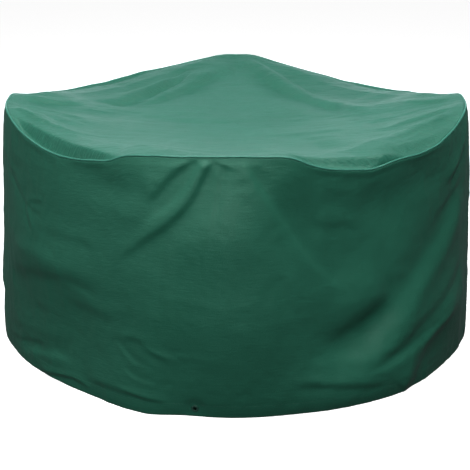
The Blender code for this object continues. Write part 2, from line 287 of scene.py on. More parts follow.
# Broad hollows and swells: (angle, height, half width in degrees, half height, depth outwards)
SKIRT_SWELLS = (
    (-93.0, 0.38, 16.0, 0.26, 0.028),     # the cloth hangs out over the front chair's back
    (-94.0, 0.61, 12.0, 0.15, 0.035),
    (-104.0, 0.38, 7.0, 0.12, 0.008),
    (-78.0, 0.66, 6.0, 0.11, -0.016),
    (-93.0, 0.32, 13.0, 0.22, 0.021),
    (-140.0, 0.43, 18.0, 0.11, 0.020),
    (-140.0, 0.18, 18.0, 0.10, -0.014),
    (-64.0, 0.385, 10.0, 0.08, 0.019),
    (-62.0, 0.215, 10.0, 0.075, -0.016),
    (-30.0, 0.20, 11.0, 0.07, 0.012),
    (-119.0, 0.72, 9.0, 0.05, -0.010),    # beside it, under the rim, it falls back
    (-137.0, 0.64, 12.0, 0.09, 0.004),
    (-74.0, 0.62, 6.0, 0.12, -0.012),
    (-64.0, 0.38, 12.0, 0.20, -0.034),
    (-47.0, 0.58, 10.0, 0.10, -0.010),
    (-55.0, 0.64, 12.0, 0.07, -0.012),
    (-38.0, 0.69, 12.0, 0.06, -0.010),
    (-26.0, 0.22, 14.0, 0.13, 0.016),
    (-78.0, 0.12, 11.0, 0.14, -0.010),
    (-150.0, 0.45, 12.0, 0.12, 0.006),
    (10.0, 0.50, 10.0, 0.16, 0.010), (46.0, 0.55, 15.0, 0.13, -0.026), (30.0, 0.30, 12.0, 0.14, 0.010),
    (62.0, 0.24, 12.0, 0.14, -0.008), (90.0, 0.58, 12.0, 0.16, 0.012), (84.0, 0.30, 12.0, 0.18, 0.010),
    (118.0, 0.60, 10.0, 0.12, -0.020), (142.0, 0.56, 13.0, 0.12, -0.022), (135.0, 0.28, 14.0, 0.15, 0.010),
    (165.0, 0.50, 9.0, 0.16, 0.008),
)

# Folds: ((angle, height), ...), then drop, width, left, right and sometimes fade, as Fold has them
SKIRT_FOLDS = (
    # the tent of cloth that hangs from the front chair
    (((-110.5, 0.69), (-108, 0.715), (-104, 0.785), (-99.0, 0.845)),
     0.014, 0.010, 0.050, 0.030, (0.30, 0.02)),
    (((-120, 0.455), (-114, 0.528), (-109.5, 0.58), (-103.8, 0.645), (-99.8, 0.71), (-97.6, 0.77),
      (-95.2, 0.845)), 0.015, 0.009, 0.030, 0.060, (0.50, 0.02)),
    (((-111.6, 0.60), (-107.4, 0.66), (-103.0, 0.71), (-99.8, 0.775), (-97.2, 0.845)),
     -0.009, 0.009, 0.026, 0.026, (0.35, 0.02)),
    (((-92.4, 0.845), (-93.6, 0.76), (-94.4, 0.68), (-95.9, 0.564)),
     -0.006, 0.005, 0.014, 0.024, (0.20, 0.50)),
    (((-104, 0.60), (-105, 0.48), (-105.5, 0.34)), 0.005, 0.010, 0.030, 0.030),
    (((-88.0, 0.845), (-86.2, 0.784), (-84.0, 0.734), (-80.2, 0.649), (-74.6, 0.535), (-70.8, 0.463),
      (-67.6, 0.411)), -0.010, 0.009, 0.060, 0.050, (0.10, 0.40)),
    (((-90, 0.845), (-90.5, 0.78), (-91, 0.70)), 0.0012, 0.006, 0.014, 0.014, (0.02, 0.50)),
    (((-88, 0.845), (-87.7, 0.78), (-87, 0.70)), -0.0012, 0.006, 0.014, 0.014, (0.02, 0.50)),
    # right of the tent
    (((-77, 0.565), (-71, 0.48), (-65, 0.385)), -0.006, 0.014, 0.040, 0.050),
    (((-74, 0.635), (-69, 0.61), (-63, 0.598), (-58, 0.58)), 0.007, 0.016, 0.040, 0.040),
    (((-80, 0.50), (-79, 0.42), (-77, 0.34)), 0.004, 0.012, 0.040, 0.030),
    (((-73, 0.225), (-67, 0.243), (-61.5, 0.268), (-55.5, 0.303), (-49.5, 0.34)),
     0.034, 0.036, 0.120, 0.090, (0.40, 0.25)),
    (((-69, 0.12), (-63, 0.155), (-58, 0.19), (-53, 0.235), (-44, 0.33), (-36, 0.40), (-27, 0.475),
      (-20, 0.55), (-14, 0.62)), -0.034, 0.042, 0.100, 0.080, (0.35, 0.20)),
    (((-60, 0.10), (-53, 0.145), (-43, 0.21), (-31, 0.265), (-22, 0.315), (-14, 0.385)),
     0.013, 0.022, 0.055, 0.040),
    (((-61, 0.095), (-50.6, 0.125), (-39.7, 0.165), (-31, 0.195), (-22, 0.225)), -0.011, 0.013, 0.030, 0.030),
    (((-48, 0.00), (-43.5, 0.07), (-39, 0.125), (-31, 0.175), (-20, 0.225)),
     0.020, 0.030, 0.060, 0.080, (0.02, 0.30)),
    (((-33, 0.53), (-25, 0.575), (-19, 0.61), (-14, 0.66)), 0.006, 0.012, 0.035, 0.035),
    (((-79, 0.11), (-70, 0.092), (-62, 0.07), (-53, 0.05)), 0.010, 0.012, 0.030, 0.030),
    (((-76, 0.165), (-69, 0.175), (-60, 0.163), (-54, 0.145)), -0.006, 0.018, 0.030, 0.030),
    # left side
    (((-173, 0.74), (-165, 0.68), (-158, 0.63), (-152, 0.585)), 0.005, 0.009, 0.030, 0.030),
    (((-152, 0.585), (-147, 0.60), (-143, 0.61)), 0.005, 0.005, 0.016, 0.016),
    (((-153, 0.585), (-148, 0.57), (-143, 0.565)), 0.005, 0.005, 0.014, 0.014),
    (((-153, 0.60), (-151, 0.55), (-147, 0.49)), 0.006, 0.007, 0.020, 0.020),
    (((-146, 0.53), (-138, 0.52), (-129, 0.52), (-121, 0.51)), 0.005, 0.016, 0.045, 0.040),
    (((-160, 0.425), (-150, 0.445), (-141, 0.44), (-134, 0.42)), -0.007, 0.022, 0.060, 0.040),
    (((-166, 0.305), (-151, 0.345), (-140, 0.373), (-130, 0.385), (-122, 0.37)), 0.009, 0.018, 0.060, 0.060),
    (((-137, 0.38), (-129, 0.36), (-122, 0.335)), -0.004, 0.010, 0.030, 0.030),
    (((-133, 0.30), (-125, 0.30), (-117, 0.29)), 0.007, 0.018, 0.045, 0.045),
    (((-166, 0.10), (-154, 0.115), (-142, 0.14), (-130, 0.158)), 0.010, 0.024, 0.080, 0.050),
    (((-166, 0.06), (-158, 0.07), (-150, 0.095), (-143, 0.115)), 0.005, 0.007, 0.025, 0.025),
    (((-158, 0.04), (-148, 0.068), (-138, 0.092), (-131, 0.08)), -0.008, 0.011, 0.030, 0.030),
    # hem tuck at the front left
    (((-148, 0.002), (-141, 0.016), (-136, 0.029), (-131, 0.036), (-126, 0.020)), 0.010, 0.005, 0.020, 0.018),
    (((-128, 0.052), (-120, 0.060), (-112, 0.055), (-104, 0.045)), 0.006, 0.008, 0.025, 0.025),
    # the knot of small creases low on the left
    (((-118, 0.235), (-115.5, 0.205), (-113, 0.18), (-110, 0.165)), -0.005, 0.005, 0.016, 0.016),
    (((-116, 0.235), (-112, 0.25), (-109, 0.228), (-104, 0.19)), 0.007, 0.006, 0.022, 0.020),
    (((-112, 0.245), (-107, 0.222), (-101, 0.198)), -0.006, 0.005, 0.018, 0.016),
    (((-107, 0.245), (-104, 0.225), (-99, 0.212)), -0.004, 0.004, 0.012, 0.012),
    (((-116, 0.15), (-112, 0.12), (-107, 0.113)), -0.004, 0.005, 0.016, 0.016),
    (((-117, 0.065), (-111, 0.058), (-105, 0.045)), 0.005, 0.005, 0.016, 0.016),
    # right side, back and left side
    (((-5, 0.84), (3, 0.76), (10, 0.68), (18, 0.58), (27, 0.47)), -0.018, 0.012, 0.055, 0.050),
    (((-1, 0.84), (-1, 0.72), (-3, 0.58), (-2, 0.44)), 0.008, 0.012, 0.040, 0.040),
    (((-27, 0.62), (-18, 0.695), (-12, 0.77), (-8, 0.84)), 0.015, 0.012, 0.045, 0.050),
    (((12, 0.42), (22, 0.35), (34, 0.25), (44, 0.12)), -0.016, 0.016, 0.055, 0.050),
    (((8, 0.28), (18, 0.21), (29, 0.12), (35, 0.03)), 0.015, 0.014, 0.045, 0.050),
    (((38, 0.33), (45, 0.44), (54, 0.54)), 0.012, 0.018, 0.050, 0.050),
    (((56, 0.50), (64, 0.60), (72, 0.69), (79, 0.77), (85, 0.845)), 0.019, 0.012, 0.050, 0.055),
    (((89, 0.84), (88, 0.72), (84, 0.58), (83, 0.42)), 0.009, 0.012, 0.045, 0.045),
    (((94, 0.845), (100, 0.77), (107, 0.69), (114, 0.59), (122, 0.50)), -0.019, 0.012, 0.055, 0.055),
    (((64, 0.10), (69, 0.24), (76, 0.37)), 0.013, 0.016, 0.050, 0.050),
    (((98, 0.42), (106, 0.30), (112, 0.15)), -0.013, 0.016, 0.050, 0.050),
    (((128, 0.47), (136, 0.37), (147, 0.295), (158, 0.25)), -0.017, 0.015, 0.060, 0.050),
    (((122, 0.29), (132, 0.21), (144, 0.14), (156, 0.105)), 0.014, 0.015, 0.050, 0.055),
    (((149, 0.60), (159, 0.68), (166, 0.76), (172, 0.845)), 0.018, 0.012, 0.050, 0.050),
    (((176, 0.84), (178, 0.72), (176, 0.58), (179, 0.44)), 0.007, 0.012, 0.040, 0.040),
    (((168, 0.40), (176, 0.29), (184, 0.21), (191, 0.16)), 0.013, 0.014, 0.045, 0.045),
    (((106, 0.065), (118, 0.078), (130, 0.055)), 0.008, 0.009, 0.028, 0.028),
    (((42, 0.05), (52, 0.072), (62, 0.055)), 0.008, 0.008, 0.026, 0.026),
    (((20, 0.70), (30, 0.665), (40, 0.66)), 0.006, 0.010, 0.035, 0.035),
    (((126, 0.69), (136, 0.665), (146, 0.68)), 0.006, 0.010, 0.035, 0.035),
)


def skirt_flat(angle, height):
    """A place on the skirt, laid flat: metres round the cover and metres up."""
    return np.stack([np.radians(angle) * ROUND_RADIUS, height], axis=1)


def tuck_curve(height):
    """The skirt's foot turns in under it: 0 at the ground, most a hand above it."""
    return (1.0 - np.exp(-height / 0.045)) * bump(height, 0.0, 0.42)


def tuck_line(height):
    """The same near an eyelet, but flat."""
    slope = (tuck_curve(EYELET_HEIGHT + 1 * MM) - tuck_curve(EYELET_HEIGHT - 1 * MM)) / (2 * MM)
    return tuck_curve(EYELET_HEIGHT) + slope * (height - EYELET_HEIGHT)


def skirt_relief(angle, height):
    """Everything that takes the skirt off its plain shape, outwards."""
    relief = np.zeros(len(angle))
    for at, level, wide, tall, depth in SKIRT_SWELLS:
        relief += depth * bump_round(angle, at, wide) * bump(height, level, tall)
    for route, *shape in SKIRT_FOLDS:
        fold = Fold([(math.radians(a) * ROUND_RADIUS, z) for a, z in route], *shape)
        for turn in (-1, 0, 1):
            fold.add_to(skirt_flat(angle + turn * FULL_TURN, height), relief)
    points = on_circle(angle, ROUND_RADIUS, height)
    relief += 0.0030 * crumple(points * (1.0, 1.0, 0.7), 11, 0.17, 0.4)
    relief += 0.0016 * crumple(points, 21, 0.075, 0.7)
    relief += 0.0008 * crumple(points * (1.0, 1.0, 1.2), 31, 0.034, 0.7)
    under_rim = rim_height(angle) - height
    relief += 0.0018 * seam_ripples(angle, 41) * np.exp(-under_rim / 0.04)
    hem = np.exp(-np.abs(height - HEM_HEIGHT) / 0.03)
    relief += 0.0012 * seam_ripples(angle, 51) * hem
    relief -= 0.0006 * bump(height, HEM_HEIGHT - 3 * MM, 0.005)
    relief *= smoothstep(0.003, 0.028, under_rim)
    near_eyelet = np.zeros(len(angle))
    for at in EYELETS.values():
        away = np.hypot(np.radians(off_by(angle, at)) * ROUND_RADIUS, height - EYELET_HEIGHT)
        near_eyelet = np.maximum(near_eyelet, 1.0 - smoothstep(*FLAT_ROUND_EYELET, away))
    tuck = 0.003 + 0.013 * bump_round(angle, -85.0, 48.0) + 0.018 * bump_round(angle, -63.0, 20.0)
    tucked = near_eyelet * tuck_line(height) + (1.0 - near_eyelet) * tuck_curve(height)
    return relief * (1.0 - near_eyelet) + tuck * tucked


def skirt_radius(angle, height):
    """The skirt's outside."""
    top = rim_height(angle)
    under_piping = 1.0 - smoothstep(0.0022, 0.0038, top - height)
    start = rim_radius(angle) + 3.0 * MM - (BEND_NEAR + 3.0 * MM) * under_piping
    down = np.clip((top - height) / top, 0.0, 1.0)
    over_chair = 0.45 * (1.0 - np.exp(-down / 0.10)) + 0.55 * down
    slack = np.clip((RIM_TOP - top) / 0.06, 0.0, 1.0) * (0.35 + 0.65 * bump_round(angle, -50.0, 45.0))
    reach = (1.0 - slack) * over_chair + slack * down**1.5
    radius = start + (hem_radius(angle) - start) * reach
    return radius + skirt_relief(angle, height)


def skirt_radii(angles, heights):
    """The same for a whole grid of points."""
    return skirt_radius(angles.ravel(), heights.ravel()).reshape(heights.shape)


# Top panel -----------------------------------------------------------------------------------------------

# Where the panel turns down outside the line from chair to chair: (first corner's angle, second corner's
# angle, how far in the line starts, how wide the turn is, its part of the rim's sag, gutter)
TOP_EDGES = (
    (-165.0, -118.0, 0.024, 0.016, 0.44, 0.026),
    (-84.0, -48.0, 0.034, 0.022, 0.42, 0.0),
    (18.0, 74.0, 0.020, 0.070, 0.12, 0.003),
    (104.0, 160.0, 0.022, 0.060, 0.12, 0.004),
)

CORNER_RADIUS = 0.80          # where these lines' corners lie
TOP_DISH = 0.085              # how far the panel's middle hangs under the chair backs

# Folds: ((x, y), ...), then drop, width, left and right, as Fold has them
TOP_FOLDS = (
    # fans from the back chair to the two sides
    (((0.04, 0.74), (0.10, 0.60), (0.17, 0.475), (0.24, 0.36), (0.30, 0.27), (0.39, 0.15), (0.47, 0.0)),
     0.026, 0.016, 0.075, 0.090),
    (((0.04, 0.79), (0.15, 0.62), (0.24, 0.48), (0.31, 0.33)), -0.020, 0.014, 0.060, 0.045),
    (((0.13, 0.76), (0.26, 0.64), (0.38, 0.53)), 0.006, 0.012, 0.045, 0.045),
    (((-0.56, 0.22), (-0.47, 0.24), (-0.39, 0.32), (-0.28, 0.48), (-0.18, 0.62)), 0.022, 0.018, 0.060, 0.070),
    (((-0.46, 0.35), (-0.36, 0.44), (-0.27, 0.54), (-0.16, 0.67)), -0.016, 0.013, 0.050, 0.045),
    (((-0.36, 0.22), (-0.27, 0.33), (-0.20, 0.43), (-0.12, 0.55), (-0.05, 0.68)), 0.022, 0.018, 0.050, 0.080),
    (((-0.34, 0.31), (-0.27, 0.43), (-0.21, 0.53), (-0.15, 0.65)), -0.015, 0.011, 0.040, 0.040),
    (((-0.12, 0.50), (-0.03, 0.64), (0.03, 0.75)), 0.008, 0.035, 0.080, 0.080),
    # fans from the side chairs
    (((-0.77, 0.08), (-0.68, 0.12), (-0.56, 0.19)), -0.010, 0.010, 0.040, 0.040),
    (((-0.76, 0.05), (-0.64, 0.07), (-0.54, 0.13)), 0.011, 0.010, 0.045, 0.045),
    (((-0.77, -0.12), (-0.66, -0.24), (-0.52, -0.36)), 0.010, 0.009, 0.030, 0.035),
    (((-0.77, -0.08), (-0.68, -0.16), (-0.55, -0.25)), -0.007, 0.009, 0.030, 0.030),
    (((-0.77, -0.02), (-0.64, -0.07), (-0.50, -0.14)), 0.005, 0.010, 0.040, 0.040),
    (((-0.76, -0.05), (-0.64, -0.12), (-0.48, -0.21)), -0.004, 0.008, 0.030, 0.030),
    (((0.58, 0.10), (0.69, 0.045), (0.78, 0.03)), 0.006, 0.010, 0.040, 0.040),
    (((0.55, 0.17), (0.68, 0.11), (0.78, 0.07)), -0.005, 0.012, 0.045, 0.045),
    (((0.50, -0.28), (0.58, -0.20), (0.66, -0.16), (0.77, -0.10)), 0.008, 0.009, 0.035, 0.035),
    (((0.50, -0.32), (0.62, -0.24), (0.76, -0.14)), -0.006, 0.008, 0.025, 0.025),
    (((0.46, -0.49), (0.54, -0.40), (0.64, -0.29), (0.75, -0.17)), 0.009, 0.009, 0.035, 0.035),
    (((0.47, -0.54), (0.60, -0.40), (0.73, -0.24)), -0.006, 0.008, 0.025, 0.030),
    (((0.44, -0.14), (0.60, -0.07), (0.77, -0.02)), 0.004, 0.009, 0.035, 0.035),
    # slack across the front and the middle
    (((-0.42, -0.60), (-0.20, -0.64), (0.02, -0.63)), 0.005, 0.012, 0.045, 0.045),
    (((-0.05, -0.56), (0.15, -0.61), (0.34, -0.59)), 0.005, 0.012, 0.045, 0.045),
    (((-0.34, -0.50), (-0.12, -0.53), (0.08, -0.50)), 0.003, 0.012, 0.045, 0.045),
    (((-0.30, 0.05), (-0.10, 0.02), (0.12, 0.06)), 0.004, 0.016, 0.060, 0.060),
    (((0.02, -0.22), (0.20, -0.25), (0.38, -0.20)), 0.004, 0.014, 0.050, 0.050),
)


def plateau(angle, share):
    """The panel inside the lines from chair to chair: a shallow dish."""
    turn = np.radians(angle)
    corner = (np.abs(np.cos(turn)) ** 1.3 + np.abs(np.sin(turn)) ** 1.3) ** (1 / 1.3) * share
    return -TOP_DISH * np.maximum(1.0 - corner * corner, 0.0)


def top_height(angle, share):
    """The panel's outside."""
    radius = rim_radius(angle) * share
    points = on_circle(angle, radius, 0.0)
    flat = points[:, :2]
    x, y = flat.T
    sag = RIM_TOP - rim_height(angle)
    drop = 0.5 * smoothstep(0.35, 0.92, share) + 0.5 * smoothstep(0.90, 1.0, share)
    gutter = np.zeros_like(share)
    for first, second, inset, steep, part, hollow in TOP_EDGES:
        middle = 0.5 * (first + second)
        half = 0.5 * (second - first)
        within = 1.0 - smoothstep(0.65, 1.25, np.abs(off_by(angle, middle)) / half)
        line = CORNER_RADIUS * math.cos(math.radians(half)) - inset
        way = math.radians(middle)
        outwards = x * math.cos(way) + y * math.sin(way) - line
        past = np.maximum(smoothstep(0.0, steep, outwards), smoothstep(0.985, 1.0, share))
        inside = (1.0 - part) * smoothstep(0.30, 0.90, share)
        drop = drop * (1.0 - within) + (inside + part * past) * within
        trough = hollow * bump(outwards, steep + 0.012, 0.020)
        gutter += within * trough * (1.0 - smoothstep(0.965, 1.0, share))
    height = RIM_TOP + TOP_SEAT + plateau(angle, share) - sag * drop - gutter
    relief = np.zeros_like(height)
    for route, *shape in TOP_FOLDS:
        Fold(route, *shape).add_to(flat, relief)
    relief += 0.0040 * crumple(points, 61, 0.20, 0.25)
    relief += 0.0018 * crumple(points * (0.6, 1.0, 1.0), 71, 0.085, 0.6)
    relief += 0.0017 * crumple(points * (0.35, 1.0, 1.0), 81, 0.036, 0.6)
    inwards = radius / np.maximum(share, 1e-6) - radius
    relief += 0.0022 * seam_ripples(angle, 91) * np.exp(-inwards / 0.035)
    return height + relief * smoothstep(0.0, 0.020, inwards)


# Sheets --------------------------------------------------------------------------------------------------

def no_selection():
    for obj in bpy.context.selected_objects:
        obj.select_set(False)


def in_scene(name, data):
    """An object for a mesh, a camera or a light."""
    obj = bpy.data.objects.new(name, data)
    bpy.context.scene.collection.objects.link(obj)
    return obj


def smooth_piece(name, points, faces, material, uvs=None):
    """A piece from its points and faces. uvs are in metres along the cloth, one for each point."""
    mesh = bpy.data.meshes.new(name)
    mesh.from_pydata(points.tolist(), [], faces)
    if uvs is not None:
        corners = np.empty(len(mesh.loops), int)
        mesh.loops.foreach_get("vertex_index", corners)
        mesh.uv_layers.new(name="Cloth").data.foreach_set("uv", uvs[corners].ravel())
    mesh.materials.append(material)
    mesh.shade_smooth()
    return in_scene(name, mesh)


def sheet_object(name, points, quads, uvs, material, wall=CLOTH):
    """A closed thin sheet on a grid of points, its outside where the grid is."""
    obj = smooth_piece(name, points, quads.tolist(), material, uvs)
    wall_maker = obj.modifiers.new("wall", "SOLIDIFY")
    wall_maker.thickness = wall
    wall_maker.offset = -1.0
    no_selection()
    obj.select_set(True)
    bpy.context.view_layer.objects.active = obj
    bpy.ops.object.modifier_apply(modifier="wall")
    obj.data.shade_smooth()
    obj.select_set(False)
    return obj


def grid_quads(rows, columns):
    """Four-sided faces between the points of a grid, row after row."""
    index = np.arange(rows * columns).reshape(rows, columns)
    corners = [index[:-1, :-1], index[1:, :-1], index[1:, 1:], index[:-1, 1:]]
    return np.stack(corners, axis=-1).reshape(-1, 4)


SKIRT_ROWS = 108
SKIRT_COLUMNS = 1.95          # for each degree round the cover
HEM_ROWS = 6
HEM_FOLD_STEPS = 4


def skirt_shares():
    """From the rim to the ground, closer together at both ends."""
    t = np.linspace(0.0, 1.0, SKIRT_ROWS)
    return t - 0.055 * np.sin(2 * math.pi * t)


def open_hole(angles, heights, at):
    """Moves the eight points round the one nearest to an eyelet's middle onto the edge of its hole.

    angles and heights are one ply's grid, and change in place. Returns that nearest point's row and column.
    """
    across = np.radians(off_by(angles, at)) * ROUND_RADIUS
    row, column = np.unravel_index(np.argmin(np.hypot(across, heights - EYELET_HEIGHT)), angles.shape)
    middle, level = angles[row, column], heights[row, column]
    for down, beside in np.ndindex(3, 3):
        if (down, beside) == (1, 1):
            continue
        i, j = row + down - 1, column + beside - 1
        right = 0.0 if beside == 1 else math.copysign(1.0, angles[i, j] - middle)
        up = 0.0 if down == 1 else math.copysign(1.0, heights[i, j] - level)
        way = Vector((right, up)).normalized()
        turned = math.degrees(way.x * HOLE_RADIUS / ROUND_RADIUS)
        angles[i, j] = middle + off_by(at, middle) + turned
        heights[i, j] = EYELET_HEIGHT + way.y * HOLE_RADIUS
    return row, column


def make_skirt(name, start, end, material):
    """A panel from seam to seam: allowance, skirt, and the hem turned up inside."""
    columns = round((end - start) * SKIRT_COLUMNS)
    back = math.degrees(SEAM_HALF_GAP / ROUND_RADIUS)
    angles = np.linspace(start + back, end - back, columns)
    rim_out, rim_up = rim_radius(angles), rim_height(angles)
    rows, lengths = [], []
    for share in (1.0, 0.5, 0.1):
        along_tail = share * ALLOWANCE * math.sqrt(0.5)
        rows.append(on_circle(angles, rim_out - BEND_NEAR - along_tail, rim_up - BEND_FAR - along_tail))
        lengths.append(-share * ALLOWANCE)

    shares = skirt_shares()
    below_bend = shares[shares * RIM_TOP > BEND_FAR + 1 * MM]
    shares = np.concatenate([[(BEND_FAR + 0.7 * MM) / RIM_TOP], below_bend])
    angle_grid = np.repeat(angles[None, :], len(shares), axis=0)
    height_grid = rim_up * (1.0 - shares[:, None]) + HEM_FOLD_RADIUS * shares[:, None]
    inner_angles = np.repeat(angles[None, :], HEM_ROWS, axis=0)
    inner_levels = np.linspace(0.0, HEM_HEIGHT, HEM_ROWS + 1)[1:]
    inner_heights = np.repeat(inner_levels[:, None], columns, axis=1)
    first_outer = len(rows)
    first_inner = first_outer + len(shares) + HEM_FOLD_STEPS
    plies = ((angle_grid, height_grid, first_outer), (inner_angles, inner_heights, first_inner))
    middles = []
    for at in EYELETS.values():
        if 0.0 < (at - start) % FULL_TURN < end - start:
            for ply_angles, ply_heights, first in plies:
                row, column = open_hole(ply_angles, ply_heights, at)
                middles.append((first + row) * columns + column)

    radius_grid = skirt_radii(angle_grid, height_grid)
    rows.extend(on_circle(angle_grid, radius_grid, height_grid))
    lengths.extend(shares * RIM_TOP)
    foot = radius_grid[-1]
    for step in range(1, HEM_FOLD_STEPS + 1):
        around = math.pi * step / HEM_FOLD_STEPS
        inwards = HEM_FOLD_RADIUS * (1.0 - math.cos(around))
        level = HEM_FOLD_RADIUS * (1.0 - math.sin(around))
        rows.append(on_circle(angles, foot - inwards, np.full_like(angles, level)))
        lengths.append(RIM_TOP + HEM_FOLD_RADIUS * around)
    inner_radii = skirt_radii(inner_angles, inner_heights) - HEM_DEPTH
    rows.extend(on_circle(inner_angles, inner_radii, inner_heights))
    lengths.extend(RIM_TOP + inner_heights[:, 0])

    points = np.concatenate(rows)
    along = np.tile(np.radians(angles) * ROUND_RADIUS, len(rows))
    uvs = np.stack([along, -np.repeat(lengths, columns)], axis=1)
    quads = grid_quads(len(rows), columns)
    quads = quads[~np.isin(quads, middles).any(axis=1)]
    kept = np.setdiff1d(np.arange(len(points)), middles)
    return sheet_object(name, points[kept], np.searchsorted(kept, quads), uvs[kept], material)


def make_tape(name, at, material):
    """A strip bonded over the inside of an upright seam, from under the rim to just above the hem."""
    half_turn = math.degrees(0.5 * TAPE_WIDTH / ROUND_RADIUS)
    angles = np.linspace(at - half_turn, at + half_turn, 9)
    heights = np.linspace(RIM_TOP - 20 * MM, HEM_HEIGHT + 4 * MM, 130)
    angle_grid, height_grid = np.meshgrid(angles, heights)
    radius_grid = skirt_radii(angle_grid, height_grid) - CLOTH - TAPE_GAP
    points = on_circle(angle_grid, radius_grid, height_grid).reshape(-1, 3)
    uvs = skirt_flat(angle_grid.ravel(), height_grid.ravel())
    quads = grid_quads(len(heights), len(angles))
    return sheet_object(name, points, quads, uvs, material, TAPE_WALL)


TOP_RINGS = 94
TOP_ALLOWANCE_RINGS = 3
ALLOWANCE_SHARE = 0.012       # the top panel's allowance, as a share of its cut radius


def disc_grid(half):
    """A square grid bent into a disc: (ring, angle) of each point of a (2 half + 1) by (2 half + 1) grid."""
    steps = np.arange(-half, half + 1)
    a, b = np.meshgrid(steps, steps, indexing="ij")
    ring = np.maximum(np.abs(a), np.abs(b))
    wide = np.abs(a) >= np.abs(b)
    major = np.where(wide, a, b).astype(float)
    minor = np.where(wide, b, a)
    slant = 45.0 * minor / np.where(major == 0.0, 1.0, major)
    angle = np.where(wide, slant, 90.0 - slant) + np.where(major < 0.0, 180.0, 0.0)
    return ring.ravel(), angle.ravel()


def make_top(name, material):
    """The top panel, with its allowance turned down inside the skirt."""
    half = TOP_RINGS + TOP_ALLOWANCE_RINGS
    ring, angle = disc_grid(half)
    t = np.minimum(ring / TOP_RINGS, 1.0)
    share = t * (1.0 + 0.35 * (1.0 - t))
    share = share * (1.0 - (PIPING_RADIUS + 0.2 * MM) / rim_radius(angle))
    radius = rim_radius(angle) * share
    height = top_height(angle, share)
    past = np.maximum(ring - TOP_RINGS, 0) / TOP_ALLOWANCE_RINGS
    folded = past > 0.0
    along_tail = (past - past[folded].min()) * ALLOWANCE * math.sqrt(0.5)
    radius = np.where(folded, rim_radius(angle) - BEND_FAR - along_tail, radius)
    height = np.where(folded, rim_height(angle) - BEND_NEAR - along_tail, height)
    points = on_circle(angle, radius, height)
    side = 2 * half + 1
    uvs = on_circle(angle, (share + past * ALLOWANCE_SHARE) * CUT_RADIUS, 0.0)[:, :2]
    return sheet_object(name, points, grid_quads(side, side), uvs, material)


# Rim piping ----------------------------------------------------------------------------------------------

def round_section(radius, start, end, count):
    """Points of a round section, from start to end in degrees."""
    turns = np.radians(np.linspace(start, end, count))
    return np.stack([radius * np.cos(turns), radius * np.sin(turns)], axis=1)


def piping_outline():
    """A strip folded round the cord, with its two plies lying together as a tail."""
    tail_way = np.array([-1.0, -1.0]) * math.sqrt(0.5)
    top_side = np.array([-1.0, 1.0]) * math.sqrt(0.5)
    slit = PIPING_SLIT / 2
    outer_half = slit + PIPING_TAIL_PLY
    inner_radius = PIPING_RADIUS - PIPING_WALL
    outer_turn = math.degrees(math.asin(outer_half / PIPING_RADIUS))
    inner_turn = math.degrees(math.asin(slit / inner_radius))
    tail = tail_way * PIPING_TAIL
    return np.concatenate([
        [tail - top_side * outer_half],
        round_section(PIPING_RADIUS, outer_turn - 135.0, 225.0 - outer_turn, 16),
        [tail + top_side * outer_half],
        [tail + top_side * slit],
        round_section(inner_radius, 225.0 - inner_turn, inner_turn - 135.0, 10),
        [tail - top_side * slit],
    ])


PIPING_STEPS = 1100           # round the rim
CORD_STEPS = 700


def ring_round_rim(name, outline, material, steps):
    """A closed outline of (outwards, upwards) points, carried once round the rim."""
    angles = np.linspace(0.0, FULL_TURN, steps, endpoint=False)
    radii, heights = rim_radius(angles), rim_height(angles)
    lines = [on_circle(angles, radii + out, heights + up) for out, up in outline]
    points = np.stack(lines, axis=1).reshape(-1, 3)
    index = np.arange(len(points)).reshape(steps, len(outline))
    after, beside = np.roll(index, -1, axis=0), np.roll(index, -1, axis=1)
    quads = np.stack([index, after, np.roll(after, -1, axis=1), beside], axis=-1).reshape(-1, 4)
    around = np.concatenate([[0.0], np.cumsum(np.hypot(*np.diff(outline, axis=0).T))])
    place = np.meshgrid(np.radians(angles) * ROUND_RADIUS, around, indexing="ij")
    uvs = np.stack(place, axis=-1).reshape(-1, 2)
    return smooth_piece(name, points, quads.tolist(), material, uvs)


# Stitches ------------------------------------------------------------------------------------------------

def stitch_rows(name, middles, ways, outs, material):
    """Threads, one for each stitch: a closed arch that comes out of the cloth and goes back in.

    middles, ways and outs are (n, 3): where a stitch lies, the way it runs, and the way out of the cloth.
    """
    t = np.linspace(-1.0, 1.0, 6)
    sides = 5
    turns = np.arange(sides) * math.tau / sides
    forward = 0.5 * STITCH * STITCH_FILL * t
    rise = THREAD_RADIUS * (0.9 - 2.0 * t**4)
    across = np.cross(ways, outs)
    centre = middles[:, None] + ways[:, None] * forward[:, None] + outs[:, None] * rise[:, None]
    sideways = np.cos(turns)[:, None] * across[:, None, None]
    spread = sideways + np.sin(turns)[:, None] * outs[:, None, None]
    points = (centre[:, :, None] + THREAD_RADIUS * spread).reshape(-1, 3)
    index = np.arange(len(t) * sides).reshape(len(t), sides)
    beside = np.roll(index, -1, axis=1)
    walls = np.stack([index[:-1], index[1:], beside[1:], beside[:-1]], axis=-1).reshape(-1, 4)
    each = len(t) * sides
    faces = []
    for first in range(0, len(middles) * each, each):
        faces.extend((walls + first).tolist())
        faces.append((index[0] + first).tolist())
        faces.append((index[-1][::-1] + first).tolist())
    return smooth_piece(name, points, faces, material)


def unit(vectors):
    return vectors / np.linalg.norm(vectors, axis=-1, keepdims=True)


def skirt_point(angle, height, depth=0.0):
    """A point on the skirt, depth under its outside."""
    return on_circle(angle, skirt_radius(angle, height) - depth, height)


def skirt_out(angle, height):
    """The way out of the skirt's outside."""
    beside = skirt_point(angle + 0.2, height) - skirt_point(angle - 0.2, height)
    up = skirt_point(angle, height + 2 * MM) - skirt_point(angle, height - 2 * MM)
    return unit(np.cross(beside, up))


